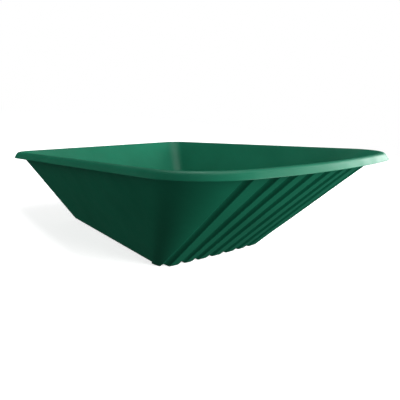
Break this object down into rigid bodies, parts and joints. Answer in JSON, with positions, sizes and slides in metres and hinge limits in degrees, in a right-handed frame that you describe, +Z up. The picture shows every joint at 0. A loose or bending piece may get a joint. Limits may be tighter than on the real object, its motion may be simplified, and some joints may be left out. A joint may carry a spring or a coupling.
{
  "type": "wheelbarrow tray",
  "caption": "Deep sloping wheelbarrow tray in moulded plastic, with a turned-down lip, a fluted nose and a flat base that bolts to a frame.",
  "frame": {"origin": "centre of the four bolt holes, on the flat underside of the base", "axes": "+X towards the nose, +Y to the left of someone pushing, +Z up, square to the base"},
  "size_m": [0.9128, 0.694, 0.3351],
  "materials": {
    "tray_plastic": "dark green moulded polypropylene, satin, with a very fine moulded texture"
  },
  "bodies": {
    "root": {"tray": "tray_plastic"}
  },
  "joints": []
}
